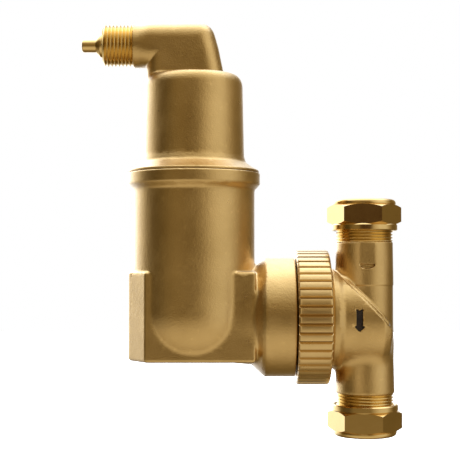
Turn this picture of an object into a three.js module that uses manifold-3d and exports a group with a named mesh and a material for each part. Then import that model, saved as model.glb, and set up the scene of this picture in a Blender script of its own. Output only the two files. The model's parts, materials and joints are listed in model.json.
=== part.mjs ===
// An automatic air vent with a deaerating chamber, for a heating pipe. A cast brass lower body holds
// a wire-wound separator core, an upper housing holds the float, lever and air valve, and a knurled
// union ring joins the body to a pipe tee with two 22 mm compression ends.
// Millimetres, +Z up. The origin is the middle of the body block's flat underside, on the barrel
// axis. The pipe runs along Z at +X, and the vent outlet points to -X.
import * as THREE from 'three';
import { mergeVertices } from 'three/addons/utils/BufferGeometryUtils.js';
import Module from 'manifold-3d';

const wasm = await Module();
wasm.setup();

// ---- Driving dimensions ----
const GAP = 0.3; // between pieces that touch
const ROUND = 28; // facets round the large, medium and small turned shapes
const PIPE_ROUND = 24;
const SMALL_ROUND = 16;
const RING_SIDES = 6;

const BLOCK = { left: -31.5, right: 29.2, halfDepth: 23.3, height: 43.7, edge: 1.4 };
const BLOCK_CORNER = { x: 9.1, y: 13.2 };
const BODY = { radius: 30.5, domeZ: 24.2, taperZ: 84, rimZ: 86.7, topZ: 92.7, rimRadius: 33.2 };
const CAVITY = { radius: 26, floorZ: 4, ledgeZ: 81, boreRadius: 28 };

const UNION = { z: 21, neckRadius: 29.5, neckEnd: 49.9, boreRadius: 16 };
const NECK_FLARE = [[22, 12], [23.4, 28], [25.4, 30.4], [28.7, 34.2]]; // [radius, x]
const NECK_THREAD = { radius: 23.9, end: 58.3, pitch: 2.309, depth: 1.1 };
const RING = { start: 50.8, end: 67.1, radius: 33.4, teeth: 48, toothDepth: 1.3, wallX: 63.9 };
const TEE_SPIGOT = { start: 60.6, radius: 20, boreRadius: 15.5, shoulderX: 67.4 };
const SNAP_GROOVE = { start: 61.9, end: 63.9, radius: 18.4 };
const GASKET = { outer: 20.6, inner: 16.4, end: 60.3 };
const FLOW_TUBE = { outer: 6, inner: 4.8, start: 22.5, end: 80, socketRadius: 6.3 };

const HOUSING = { lipZ: 93, lipRadius: 32.7, cornerZ: 135.5, topZ: 141.8 };
const FLANGE_CONE = [[32, 94.3], [29.2, 96], [26.4, 98], [25.3, 100.6]]; // [radius, z]
const SHOULDER = { centre: 20.3, reach: 4.3 };
const FLOAT_ROOM = { radius: 22.3, ceilingZ: 139.3, chamfer: 4 };
const SPIGOT = { bottomZ: 83.5, radius: 27.6 };
const SEAL_GROOVE = { low: 86, high: 89, depth: 2.6 };
const ELBOW = { left: -23.5, foot: 17.1, shoulder: 10.9, top: 3, halfDepth: 11.8, topZ: 168, round: 4.6 };
const ARM = { z: 157, radius: 11, threadStart: -30, end: -45.2, boreRadius: 4.2 };
const VENT_THREAD = { radius: 10.48, pitch: 1.814, depth: 1.16 };
const NOZZLE = { tip: -56, cone: -48.9, back: -36, spout: 3.3, flange: 5.9, stem: 3.8, bore: 1.4 };
const NOZZLE_GROOVE = { start: -41.6, end: -39.8, radius: 3 };
const FILTER = { outer: 3.7, inner: 0.6, start: -34.5, end: -31 };

const PIPE = { x: 85.3, boreRadius: 11.2, waterway: 10, stop: 31 };
// [radius, offset from the union]
const TUBE = [[14.7, -37], [14.2, -8], [14.2, 15.7], [14.45, 16.1], [14.2, 37]];
const TUBE_FRONT = 14.4;
const PIPE_THREAD = { start: 37.5, end: 52.3, radius: 14.2, pitch: 1.5, depth: 0.9 };
const FLAT = { halfWidth: 4.2, start: 26, end: 36.7, depth: 0.6 };
const NUT = { start: 43, hexStart: 46, hexEnd: 56, end: 58.6, flats: 32, collar: 16.5, rim: 15.8 };
const NUT_TURN = -8.5; // degrees
const NUT_BORE = { thread: 14.7, pipe: 11.5, coneStart: 54.4, coneEnd: 57, chamfer: 1.45 };
const OLIVE = { inner: 11.2, outer: 12.7, start: 52.6, end: 56.2 };
const SOCKET = { radius: 24, collar: 1.2, end: 97.8, cutFrom: [68.2, 45.8], cutTo: [98.6, 13.6] };
const WATERWAY = { chamberEnd: 76, portX: 72, portHalf: 7, portLow: 8.6, portHigh: 15, lowerTop: 6.3 };
const ARROW = { x: 80.3, drop: 0.6, depth: 1.4, halfShaft: 1.55, halfHead: 2.8, halfLength: 5.6 };
const ARROW_HEAD = 2.9;

const FLOAT = { bottomZ: 96, topZ: 125, radius: 19, hookX: -9 };
const LEVER = { pivotX: 11, pivotZ: 133.6, tilt: 0.25, thick: 1.4, length: 17.6, tongue: 22.6 };
const PIN = { radius: 1, hole: 1.3, halfLength: 5.8 };
const PAD = { radius: 2.6, thick: 0.7 };
const BRACKET = { left: -7.5, halfWidth: 5.2, cheek: 1.6, thick: 1.2, lug: 3, drop: 2.4, seatHole: 4.3 };
const HOOK = { halfThick: 0.75, halfWidth: 3.8, windowWidth: 2.3, windowHeight: 1.8, frame: 1.4, foot: 1 };
const COILS = { count: 6, firstZ: 13, step: 11.2, turn: 0.11, thick: 7, radius: 20, inner: 9, loops: 10 };
const CORE_TUBE = { outer: 3, inner: 2.2, eye: 3.4, low: 6, high: 83 };
const SPIDER = { rimOuter: 27.6, rimInner: 25, hub: 6.5, arms: 3, armWidth: 4, armReach: 25.9 };

// ---- Solids ----
function toSolid(geometry) {
  const plain = geometry.index ? geometry.toNonIndexed() : geometry.clone();
  for (const name of Object.keys(plain.attributes)) {
    if (name !== 'position') plain.deleteAttribute(name);
  }
  const merged = mergeVertices(plain, 1e-4);
  const points = merged.attributes.position.array;
  const faces = [];
  let volume = 0;
  for (let i = 0; i < merged.index.count; i += 3) {
    const [a, b, c] = [0, 1, 2].map((k) => merged.index.getX(i + k));
    if (a === b || b === c || c === a) continue;
    faces.push(a, b, c);
    const [p, q, r] = [a, b, c].map((v) => new THREE.Vector3().fromArray(points, 3 * v));
    volume += p.dot(q.cross(r));
  }
  if (volume < 0) faces.reverse();
  const mesh = new wasm.Mesh({
    numProp: 3,
    vertProperties: new Float32Array(points),
    triVerts: new Uint32Array(faces),
  });
  return new wasm.Manifold(mesh);
}

function toGeometry(solid) {
  const mesh = solid.getMesh();
  const geometry = new THREE.BufferGeometry();
  geometry.setAttribute('position', new THREE.BufferAttribute(mesh.vertProperties, 3));
  geometry.setIndex(new THREE.BufferAttribute(mesh.triVerts, 1));
  const flat = geometry.toNonIndexed();
  flat.computeVertexNormals();
  return flat;
}

const join = (first, ...others) => others.reduce((sum, next) => sum.add(next), first);
const cut = (first, ...others) => others.reduce((rest, next) => rest.subtract(next), first);

// A body of revolution from [radius, height] points that start and end on the axis.
function turned(profile, segments = ROUND) {
  const points = profile.map(([radius, height]) => new THREE.Vector2(radius, height));
  return new THREE.LatheGeometry(points, segments);
}

// The same about +Z, standing at (x, y).
function turnedZ(profile, x = 0, y = 0, segments = ROUND) {
  return toSolid(turned(profile, segments).rotateX(Math.PI / 2).translate(x, y, 0));
}

// The same about +X at height z, where the profile's heights are X positions.
function turnedX(profile, z, segments = ROUND) {
  return toSolid(turned(profile, segments).rotateZ(-Math.PI / 2).translate(0, 0, z));
}

const rod = (radius, from, to) => [[0, from], [radius, from], [radius, to], [0, to]];
const tubeProfile = (outer, inner, from, to) => [
  [inner, from],
  [outer, from],
  [outer, to],
  [inner, to],
  [inner, from],
];

function box(low, high) {
  const size = high.map((value, i) => value - low[i]);
  const centre = high.map((value, i) => (value + low[i]) / 2);
  return toSolid(new THREE.BoxGeometry(...size).translate(...centre));
}

// Points of an arc from one angle to another, as [radius, height] pairs.
function arc(centreR, centreZ, radiusR, radiusZ, from, to, steps) {
  const points = [];
  for (let i = 0; i <= steps; i += 1) {
    const angle = from + ((to - from) * i) / steps;
    points.push([centreR + radiusR * Math.cos(angle), centreZ + radiusZ * Math.sin(angle)]);
  }
  return points;
}

// The flanks of an external thread as [radius, height] points, crest by crest.
function threadFlanks({ radius, depth, pitch }, from, to) {
  const turns = Math.floor(Math.abs(to - from) / pitch);
  const step = (to - from) / turns;
  const points = [];
  for (let i = 0; i < turns; i += 1) {
    points.push([radius - depth, from + step * i]);
    points.push([radius, from + step * (i + 0.5)]);
  }
  points.push([radius - depth, to]);
  return points;
}

// An O-ring: a round ring about the axis at a height.
function ringProfile(middle, tube, height) {
  const points = arc(middle, height, tube, tube, 0, 2 * Math.PI, RING_SIDES);
  points[RING_SIDES] = points[0];
  return points;
}

// ---- Materials ----
const finish = (color, roughness, metalness) => () =>
  new THREE.MeshStandardMaterial({ color, roughness, metalness });
const satinBrass = finish(0xc2a36a, 0.42, 1);
const brightBrass = finish(0xd0ab5e, 0.22, 1);
const copper = finish(0xb8734a, 0.35, 1);
const steel = finish(0xb9bcc0, 0.3, 1);
const rubber = finish(0x1d1d1f, 0.8, 0);
const blackPlastic = finish(0x2b2c2e, 0.55, 0);
const palePlastic = finish(0xe6e2d6, 0.5, 0);

const vent = new THREE.Group();

function addTo(group, name, solid, material) {
  const mesh = new THREE.Mesh(toGeometry(solid), material());
  mesh.name = name;
  group.add(mesh);
  return mesh;
}

// ---- Lower body: a domed cylinder standing in a square block, with the union neck on its side ----
function makeLowerBody() {
  const { radius, domeZ, taperZ, rimZ, topZ, rimRadius } = BODY;
  const domeStart = -Math.asin(domeZ / radius);
  const barrel = turnedZ([
    [0, 0],
    ...arc(0, domeZ, radius, radius, domeStart, 0, 6),
    [radius, taperZ],
    [rimRadius - 0.5, rimZ - 0.3],
    [rimRadius, rimZ + 0.3],
    [rimRadius, topZ - 0.4],
    [rimRadius - 0.4, topZ],
    [0, topZ],
  ]);

  const { left, right, halfDepth, height, edge } = BLOCK;
  const outline = new THREE.Shape();
  outline.moveTo(left + BLOCK_CORNER.x, -halfDepth);
  outline.lineTo(right, -halfDepth);
  outline.lineTo(right, halfDepth);
  outline.lineTo(left + BLOCK_CORNER.x, halfDepth);
  outline.lineTo(left, halfDepth - BLOCK_CORNER.y);
  outline.lineTo(left, -halfDepth + BLOCK_CORNER.y);
  outline.closePath();
  const block = toSolid(
    new THREE.ExtrudeGeometry(outline, {
      depth: height - 2 * edge,
      bevelThickness: edge,
      bevelSize: edge,
      bevelOffset: -edge,
      bevelSegments: 2,
    }).translate(0, 0, edge),
  );

  const { z, neckRadius, neckEnd, boreRadius } = UNION;
  const neck = turnedX(
    [
      [0, NECK_FLARE[0][1]],
      ...NECK_FLARE,
      [neckRadius, 36.5],
      [neckRadius, neckEnd - 0.6],
      [neckRadius - 0.6, neckEnd],
      ...threadFlanks(NECK_THREAD, neckEnd, NECK_THREAD.end),
      [0, NECK_THREAD.end],
    ],
    z,
  );

  const cavityStart = -Math.asin((domeZ - CAVITY.floorZ) / CAVITY.radius);
  const cavity = turnedZ([
    [0, CAVITY.floorZ],
    ...arc(0, domeZ, CAVITY.radius, CAVITY.radius, cavityStart, 0, 4),
    [CAVITY.radius, CAVITY.ledgeZ],
    [CAVITY.boreRadius, CAVITY.ledgeZ],
    [CAVITY.boreRadius, topZ + 1],
    [0, topZ + 1],
  ]);
  const sideBore = turnedX(rod(boreRadius, 8, NECK_THREAD.end + 1), z);
  return cut(join(barrel, block, neck), cavity, sideBore);
}

// ---- Upper housing: flange cone, float barrel and the elbow that carries the vent thread ----
function makeElbow() {
  const { left, foot, shoulder, top, halfDepth, topZ, round } = ELBOW;
  const footZ = HOUSING.topZ - 8;
  const outline = new THREE.Shape();
  outline.moveTo(left, footZ);
  outline.lineTo(foot, footZ);
  outline.lineTo(shoulder, topZ - 8);
  outline.lineTo(top, topZ);
  outline.lineTo(left, topZ);
  outline.closePath();
  const leg = new THREE.ExtrudeGeometry(outline, {
    depth: 2 * (halfDepth - round),
    bevelThickness: round,
    bevelSize: round,
    bevelOffset: -round,
    bevelSegments: 4,
    curveSegments: 4,
  });
  leg.translate(0, 0, -(halfDepth - round)).rotateX(Math.PI / 2);

  const arm = turnedX(
    [
      [0, left + 8],
      [ARM.radius, left + 8],
      [ARM.radius, left - 3],
      [ARM.radius - 0.3, ARM.threadStart],
      ...threadFlanks(VENT_THREAD, ARM.threadStart - 0.6, ARM.end + 1.2),
      [7.6, ARM.end],
      [0, ARM.end],
    ],
    ARM.z,
    24,
  );
  return join(toSolid(leg), arm);
}

function makeUpperHousing() {
  const { lipZ, lipRadius, cornerZ, topZ } = HOUSING;
  const outer = turnedZ([
    [0, SPIGOT.bottomZ],
    [SPIGOT.radius, SPIGOT.bottomZ],
    [SPIGOT.radius, SEAL_GROOVE.low],
    [SPIGOT.radius - SEAL_GROOVE.depth, SEAL_GROOVE.low],
    [SPIGOT.radius - SEAL_GROOVE.depth, SEAL_GROOVE.high],
    [SPIGOT.radius, SEAL_GROOVE.high],
    [SPIGOT.radius, lipZ],
    [lipRadius, lipZ],
    [lipRadius, lipZ + 0.6],
    ...FLANGE_CONE,
    ...arc(SHOULDER.centre, cornerZ, SHOULDER.reach, topZ - cornerZ, 0, Math.PI / 2, 6),
    [0, topZ],
  ]);
  const room = turnedZ([
    [0, SPIGOT.bottomZ - 1],
    [FLOAT_ROOM.radius, SPIGOT.bottomZ - 1],
    [FLOAT_ROOM.radius, FLOAT_ROOM.ceilingZ - FLOAT_ROOM.chamfer],
    [FLOAT_ROOM.radius - FLOAT_ROOM.chamfer, FLOAT_ROOM.ceilingZ],
    [0, FLOAT_ROOM.ceilingZ],
  ]);
  const riser = turnedZ(rod(ARM.boreRadius, FLOAT_ROOM.ceilingZ - 1, ARM.z + 2), 0, 0, SMALL_ROUND);
  const outlet = turnedX(rod(ARM.boreRadius, ARM.end - 1, 2), ARM.z, SMALL_ROUND);
  return cut(join(outer, makeElbow()), room, riser, outlet);
}

function makeOutletNozzle() {
  const { tip, cone, back, spout, flange, stem, bore } = NOZZLE;
  const face = ARM.end - GAP;
  const outer = turnedX(
    [
      [0, tip],
      [spout - 0.6, tip],
      [spout, tip + 0.8],
      [spout, cone],
      [flange, face - 1.2],
      [flange, face],
      [stem, face],
      [stem, NOZZLE_GROOVE.start],
      [NOZZLE_GROOVE.radius, NOZZLE_GROOVE.start],
      [NOZZLE_GROOVE.radius, NOZZLE_GROOVE.end],
      [stem, NOZZLE_GROOVE.end],
      [stem, back],
      [0, back],
    ],
    ARM.z,
    SMALL_ROUND,
  );
  return outer.subtract(turnedX(rod(bore, tip - 1, back + 1), ARM.z, SMALL_ROUND));
}

// ---- Air valve: seat, bracket, pin and the lever that the float works ----
const CEILING = FLOAT_ROOM.ceilingZ;

function makeValveSeat() {
  return turnedZ(
    [
      [1, CEILING - 3.7],
      [2, CEILING - 3.7],
      [2, CEILING - 3.1],
      [6, CEILING - 3.1],
      [6, CEILING - 1.8],
      [3.9, CEILING - 1.8],
      [3.9, CEILING + 1.6],
      [2.7, CEILING + 1.6],
      [2.7, CEILING + 3.6],
      [3.9, CEILING + 3.6],
      [3.9, CEILING + 5.6],
      [1, CEILING + 5.6],
      [1, CEILING - 3.7],
    ],
    0,
    0,
    SMALL_ROUND,
  );
}

// A round bar along Y at (x, z).
function crossBar(radius, z, x, halfWidth) {
  const hole = new THREE.CylinderGeometry(radius, radius, 2 * halfWidth, SMALL_ROUND);
  return toSolid(hole.translate(x, 0, z));
}

function makeValveBracket() {
  const { left, halfWidth, cheek, thick, lug, drop } = BRACKET;
  const plateTop = CEILING - GAP;
  const plateBottom = plateTop - thick;
  const plate = box([left, -halfWidth, plateBottom], [LEVER.pivotX + lug, halfWidth, plateTop]);
  const cheeks = [-halfWidth, halfWidth - cheek].map((y) =>
    box([LEVER.pivotX - lug, y, LEVER.pivotZ - drop], [LEVER.pivotX + lug, y + cheek, plateTop]),
  );
  const seatHole = turnedZ(rod(BRACKET.seatHole, plateBottom - 1, plateTop + 1), 0, 0, SMALL_ROUND);
  const pivot = crossBar(PIN.hole, LEVER.pivotZ, LEVER.pivotX, halfWidth + 1);
  return cut(join(plate, ...cheeks), seatHole, pivot);
}

// The lever lies flat with its pivot at the origin; its group tilts and places it.
function makeLever() {
  const half = LEVER.thick / 2;
  const arm = box([-LEVER.length, -2.6, -half], [0, 2.6, half]);
  const tongue = box([-LEVER.tongue, -1.5, -half], [-LEVER.length + 0.6, 1.5, half]);
  const knuckle = crossBar(2.1, 0, 0, 3);
  return cut(join(arm, tongue, knuckle), crossBar(PIN.hole, 0, 0, 4));
}

function makeFloatHook() {
  const { halfThick, halfWidth, windowWidth, windowHeight, frame } = HOOK;
  const windowZ = LEVER.pivotZ - (LEVER.pivotX - FLOAT.hookX) * Math.tan(LEVER.tilt);
  const baseZ = FLOAT.topZ + GAP;
  const upright = (halfX, halfY, low, high) =>
    box([FLOAT.hookX - halfX, -halfY, low], [FLOAT.hookX + halfX, halfY, high]);
  const plate = upright(halfThick, halfWidth, baseZ, windowZ + windowHeight + frame);
  const foot = upright(4 * halfThick, halfWidth, baseZ, baseZ + HOOK.foot);
  const slot = upright(2, windowWidth, windowZ - windowHeight, windowZ + windowHeight);
  return cut(join(plate, foot), slot);
}

function makeFloat() {
  const { bottomZ, topZ, radius } = FLOAT;
  return turnedZ(
    [
      [0, bottomZ + 1.5],
      [7, bottomZ],
      ...arc(radius - 4, bottomZ + 4, 4, 4, -Math.PI / 2, 0, 2),
      ...arc(radius - 3, topZ - 3, 3, 3, 0, Math.PI / 2, 2),
      [0, topZ],
    ],
    0,
    0,
    SMALL_ROUND * 2,
  );
}

// ---- Separator core: a slotted tube wound with looped wire, held by a spider on the body's ledge ----
function makeWireCoil(z, turn) {
  const { thick, radius, inner, loops } = COILS;
  const outline = new THREE.Shape();
  const steps = loops * 4;
  for (let i = 0; i < steps; i += 1) {
    const angle = (2 * Math.PI * i) / steps + turn;
    const reach = [radius, radius - 1, inner, radius - 1][i % 4];
    const x = reach * Math.cos(angle);
    const y = reach * Math.sin(angle);
    if (i === 0) outline.moveTo(x, y);
    else outline.lineTo(x, y);
  }
  outline.closePath();
  const eye = new THREE.Path();
  eye.absarc(0, 0, CORE_TUBE.eye, 0, 2 * Math.PI, true);
  outline.holes.push(eye);
  const options = { depth: thick, bevelEnabled: false, curveSegments: 8 };
  return toSolid(new THREE.ExtrudeGeometry(outline, options).translate(0, 0, z));
}

function makeCoreSpider() {
  const { rimOuter, rimInner, arms, armWidth, armReach } = SPIDER;
  const low = CAVITY.ledgeZ + GAP;
  const high = SPIGOT.bottomZ - GAP;
  const parts = [turnedZ(rod(SPIDER.hub, low, high), 0, 0, SMALL_ROUND)];
  for (let i = 0; i < arms; i += 1) {
    const inner = CORE_TUBE.eye + 1.5;
    const arm = new THREE.BoxGeometry(armReach - inner, armWidth, high - low);
    arm.translate((armReach + inner) / 2, 0, (low + high) / 2).rotateZ((2 * Math.PI * i) / arms);
    parts.push(toSolid(arm));
  }
  const rim = turnedZ(tubeProfile(rimOuter, rimInner, low, high));
  const eye = turnedZ(rod(CORE_TUBE.eye, low - 1, high + 1), 0, 0, SMALL_ROUND);
  return cut(join(rim, ...parts), eye);
}

// ---- Union: knurled ring, snap ring and gasket ----
function makeUnionRing() {
  const { start, end, radius, teeth, toothDepth, wallX } = RING;
  const outline = new THREE.Shape();
  const pitch = (2 * Math.PI) / teeth;
  for (let i = 0; i < teeth; i += 1) {
    for (const [share, reach] of [[-0.36, radius], [0.36, radius], [0.5, radius - toothDepth]]) {
      const angle = pitch * (i + share);
      const x = reach * Math.cos(angle);
      const y = reach * Math.sin(angle);
      if (i === 0 && share < 0) outline.moveTo(x, y);
      else outline.lineTo(x, y);
    }
  }
  outline.closePath();
  const knurl = new THREE.ExtrudeGeometry(outline, { depth: end - start, bevelEnabled: false });
  knurl.rotateY(Math.PI / 2).translate(start, 0, UNION.z);
  const rounded = turnedX(
    [
      [0, start],
      [radius - 1.3, start],
      [radius + 0.4, start + 1.3],
      [radius + 0.4, end - 1.3],
      [radius - 1.3, end],
      [0, end],
    ],
    UNION.z,
  );
  const bore = turnedX(rod(NECK_THREAD.radius + 0.5, start - 1, wallX), UNION.z);
  const rearBore = turnedX(rod(TEE_SPIGOT.radius + 0.4, wallX - 1, end + 1), UNION.z);
  return cut(toSolid(knurl).intersect(rounded), bore, rearBore);
}

function makeSnapRing() {
  const { start, end, radius } = SNAP_GROOVE;
  const whole = turnedX(tubeProfile(22.9, radius + 0.4, start + GAP, end - GAP), UNION.z);
  return whole.subtract(box([start, -2.5, UNION.z], [end, 2.5, UNION.z + RING.radius]));
}

// ---- Pipe tee: a socket along X, cut back by a slanting plane, and the vertical pipe through it ----
const tubeEnd = (sign, offset) => UNION.z + sign * offset;

function makePipeTube() {
  const { radius, start, end } = PIPE_THREAD;
  const shownThread = NUT.start + 1;
  const half = (sign) => [
    ...threadFlanks(PIPE_THREAD, tubeEnd(sign, start), tubeEnd(sign, shownThread)),
    [radius, tubeEnd(sign, shownThread)],
    [radius, tubeEnd(sign, end - 1)],
    [radius - 0.8, tubeEnd(sign, end)],
  ];
  const lower = half(-1).reverse();
  const upper = half(1);
  const plain = TUBE.map(([tubeRadius, offset]) => [tubeRadius, tubeEnd(1, offset)]);
  const profile = [[0, lower[0][1]], ...lower, ...plain, ...upper, [0, upper[upper.length - 1][1]]];
  return turnedZ(profile, PIPE.x, 0, PIPE_ROUND);
}

// The half-space above the slanting cut, as a thick slab.
function makeSlantCut() {
  const [fromX, fromZ] = SOCKET.cutFrom;
  const [toX, toZ] = SOCKET.cutTo;
  const length = Math.hypot(toX - fromX, toZ - fromZ);
  const slab = new THREE.BoxGeometry(length + 60, 120, 60);
  slab.translate(0, 0, 30).rotateY(Math.atan2(fromZ - toZ, toX - fromX));
  slab.translate((fromX + toX) / 2, 0, (fromZ + toZ) / 2);
  return toSolid(slab);
}

function makePipeTee() {
  const { z } = UNION;
  const { radius, collar, end } = SOCKET;
  const { start, radius: spigotRadius, boreRadius, shoulderX } = TEE_SPIGOT;
  const spigot = turnedX(
    [
      [0, start],
      [spigotRadius, start],
      [spigotRadius, SNAP_GROOVE.start],
      [SNAP_GROOVE.radius, SNAP_GROOVE.start],
      [SNAP_GROOVE.radius, SNAP_GROOVE.end],
      [spigotRadius, SNAP_GROOVE.end],
      [spigotRadius, shoulderX],
      [0, shoulderX],
    ],
    z,
  );
  const socket = turnedX(
    [
      [0, shoulderX],
      [radius + collar - 0.8, shoulderX],
      [radius + collar, shoulderX + 0.8],
      [radius + collar - 0.3, shoulderX + 3.8],
      [radius, shoulderX + 5.8],
      [radius, end - 6.3],
      [radius - 1, end - 3.3],
      [radius - 3, end - 1.6],
      [radius - 8, end],
      [0, end],
    ],
    z,
  );
  const outer = join(spigot, socket.subtract(makeSlantCut()), makePipeTube());

  const { chamberEnd, portX, portHalf, portLow, portHigh, lowerTop } = WATERWAY;
  const beyond = PIPE_THREAD.end + 5;
  const along = (bore, from, to) => turnedZ(rod(bore, z + from, z + to), PIPE.x, 0, PIPE_ROUND);
  const chamber = turnedX(rod(boreRadius, start - 1, chamberEnd), z);
  const innerSocket = turnedX(rod(FLOW_TUBE.socketRadius, chamberEnd - 1, PIPE.x), z, SMALL_ROUND);
  const upperPort = box([portX, -portHalf, z + portLow], [PIPE.x, portHalf, z + portHigh]);
  const upperWay = along(PIPE.waterway, portLow, beyond);
  const lowerWay = along(PIPE.waterway, -beyond, lowerTop);
  const sockets = [
    along(PIPE.boreRadius, PIPE.stop, beyond),
    along(PIPE.boreRadius, -beyond, -PIPE.stop),
  ];
  const flat = box(
    [PIPE.x - FLAT.halfWidth, -TUBE_FRONT - 1, z + FLAT.start],
    [PIPE.x + FLAT.halfWidth, FLAT.depth - TUBE_FRONT, z + FLAT.end],
  );
  const arrow = makeArrow();
  return cut(outer, chamber, innerSocket, upperPort, upperWay, lowerWay, ...sockets, flat, arrow);
}

// The flow arrow sunk into the front of the socket, pointing down.
function makeArrow() {
  const { halfShaft, halfHead, halfLength } = ARROW;
  const neck = ARROW_HEAD - halfLength;
  const outline = new THREE.Shape();
  outline.moveTo(0, -halfLength);
  outline.lineTo(halfHead, neck);
  outline.lineTo(halfShaft, neck);
  outline.lineTo(halfShaft, halfLength);
  outline.lineTo(0, halfLength - 1.2);
  outline.lineTo(-halfShaft, halfLength);
  outline.lineTo(-halfShaft, neck);
  outline.lineTo(-halfHead, neck);
  outline.closePath();
  const sunk = new THREE.ExtrudeGeometry(outline, { depth: 4, bevelEnabled: false });
  sunk.rotateX(Math.PI / 2).translate(ARROW.x, ARROW.depth - SOCKET.radius, UNION.z - ARROW.drop);
  return toSolid(sunk);
}

// ---- Compression ends: a nut and an olive at each end of the pipe, mirrored about the union ----
function makeNut(sign) {
  const { start, hexStart, hexEnd, end, flats, collar, rim } = NUT;
  const at = (radius, offset) => [radius, tubeEnd(sign, offset)];
  const { thread, pipe, coneStart, coneEnd, chamfer } = NUT_BORE;
  const corner = flats / Math.sqrt(3);
  const envelope = turnedZ(
    [
      at(0, start),
      at(collar - 0.4, start),
      at(collar, start + 0.4),
      at(collar, hexStart - 0.2),
      at(flats / 2 - 0.1, hexStart),
      at(corner + 0.1, hexStart + chamfer),
      at(corner + 0.1, hexEnd - chamfer),
      at(flats / 2 - 0.1, hexEnd),
      at(rim, hexEnd + 0.1),
      at(rim, end - 1.2),
      at(rim - 1.4, end),
      at(0, end),
    ],
    PIPE.x,
    0,
    ROUND,
  );
  const hex = new THREE.CylinderGeometry(corner, corner, hexEnd - hexStart, 6);
  hex.rotateX(Math.PI / 2).rotateZ(Math.PI / 2 + THREE.MathUtils.degToRad(NUT_TURN));
  hex.translate(PIPE.x, 0, tubeEnd(sign, (hexStart + hexEnd) / 2));
  const [low, high] = [tubeEnd(sign, start - 1), tubeEnd(sign, end + 1)].sort((a, b) => a - b);
  const collarAndRim = turnedZ(rod(collar + 0.1, low, high), PIPE.x, 0, ROUND);
  const bore = turnedZ(
    [
      at(0, start - 1),
      at(thread, start - 1),
      at(thread, coneStart),
      at(pipe, coneEnd),
      at(pipe, end + 1),
      at(0, end + 1),
    ],
    PIPE.x,
    0,
    PIPE_ROUND,
  );
  return envelope.intersect(join(toSolid(hex), collarAndRim)).subtract(bore);
}

function makeOlive(sign) {
  const { inner, outer, start, end } = OLIVE;
  const at = (radius, offset) => [radius, tubeEnd(sign, offset)];
  return turnedZ(
    [
      at(inner, start),
      at(outer - 0.7, start),
      at(outer, start + 1),
      at(outer, start + 1.8),
      at(inner + 0.5, end),
      at(inner, end),
      at(inner, start),
    ],
    PIPE.x,
    0,
    PIPE_ROUND,
  );
}

// ---- Assembly ----
addTo(vent, 'lower_body', makeLowerBody(), satinBrass);
addTo(vent, 'upper_housing', makeUpperHousing(), satinBrass);
const grooveMiddle = (SEAL_GROOVE.low + SEAL_GROOVE.high) / 2;
addTo(vent, 'housing_o_ring', turnedZ(ringProfile(26.5, 1.15, grooveMiddle), 0, 0, ROUND), rubber);

addTo(vent, 'outlet_nozzle', makeOutletNozzle(), brightBrass);
const nozzleGrooveMiddle = (NOZZLE_GROOVE.start + NOZZLE_GROOVE.end) / 2;
const nozzleSeal = turnedX(ringProfile(3.62, 0.42, nozzleGrooveMiddle), ARM.z, SMALL_ROUND);
addTo(vent, 'nozzle_o_ring', nozzleSeal, rubber);
const filter = tubeProfile(FILTER.outer, FILTER.inner, FILTER.start, FILTER.end);
addTo(vent, 'vent_filter', turnedX(filter, ARM.z, SMALL_ROUND), palePlastic);

addTo(vent, 'valve_seat', makeValveSeat(), brightBrass);
const seatSeal = turnedZ(ringProfile(3.45, 0.5, CEILING + 2.6), 0, 0, SMALL_ROUND);
addTo(vent, 'valve_seat_o_ring', seatSeal, rubber);
addTo(vent, 'valve_bracket', makeValveBracket(), steel);
addTo(vent, 'lever_pin', crossBar(PIN.radius, LEVER.pivotZ, LEVER.pivotX, PIN.halfLength), steel);

const leverGroup = new THREE.Group();
leverGroup.position.set(LEVER.pivotX, 0, LEVER.pivotZ);
leverGroup.rotation.y = -LEVER.tilt;
addTo(leverGroup, 'float_lever', makeLever(), steel);
const padBottom = LEVER.thick / 2 + GAP;
const pad = turnedZ(rod(PAD.radius, padBottom, padBottom + PAD.thick), -LEVER.pivotX, 0, SMALL_ROUND);
addTo(leverGroup, 'valve_pad', pad, rubber);
vent.add(leverGroup);

addTo(vent, 'float', makeFloat(), palePlastic);
addTo(vent, 'float_hook', makeFloatHook(), steel);

const coreTube = tubeProfile(CORE_TUBE.outer, CORE_TUBE.inner, CORE_TUBE.low, CORE_TUBE.high);
addTo(vent, 'core_tube', turnedZ(coreTube, 0, 0, SMALL_ROUND), copper);
for (let i = 0; i < COILS.count; i += 1) {
  const coil = makeWireCoil(COILS.firstZ + COILS.step * i, COILS.turn * i);
  addTo(vent, `wire_coil_${i + 1}`, coil, copper);
}
addTo(vent, 'core_spider', makeCoreSpider(), blackPlastic);

addTo(vent, 'union_ring', makeUnionRing(), satinBrass);
addTo(vent, 'union_snap_ring', makeSnapRing(), steel);
const gasket = tubeProfile(GASKET.outer, GASKET.inner, NECK_THREAD.end + GAP, GASKET.end);
addTo(vent, 'union_gasket', turnedX(gasket, UNION.z), rubber);

addTo(vent, 'pipe_tee', makePipeTee(), satinBrass);
const flowTube = tubeProfile(FLOW_TUBE.outer, FLOW_TUBE.inner, FLOW_TUBE.start, FLOW_TUBE.end);
addTo(vent, 'inner_flow_tube', turnedX(flowTube, UNION.z, SMALL_ROUND), blackPlastic);
for (const [end, sign] of [['top', 1], ['bottom', -1]]) {
  addTo(vent, `compression_nut_${end}`, makeNut(sign), brightBrass);
  addTo(vent, `olive_${end}`, makeOlive(sign), brightBrass);
}

export default vent;
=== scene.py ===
"""An automatic air vent with a separating chamber, a knurled union and a pipe tee."""

import json
import math

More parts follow.
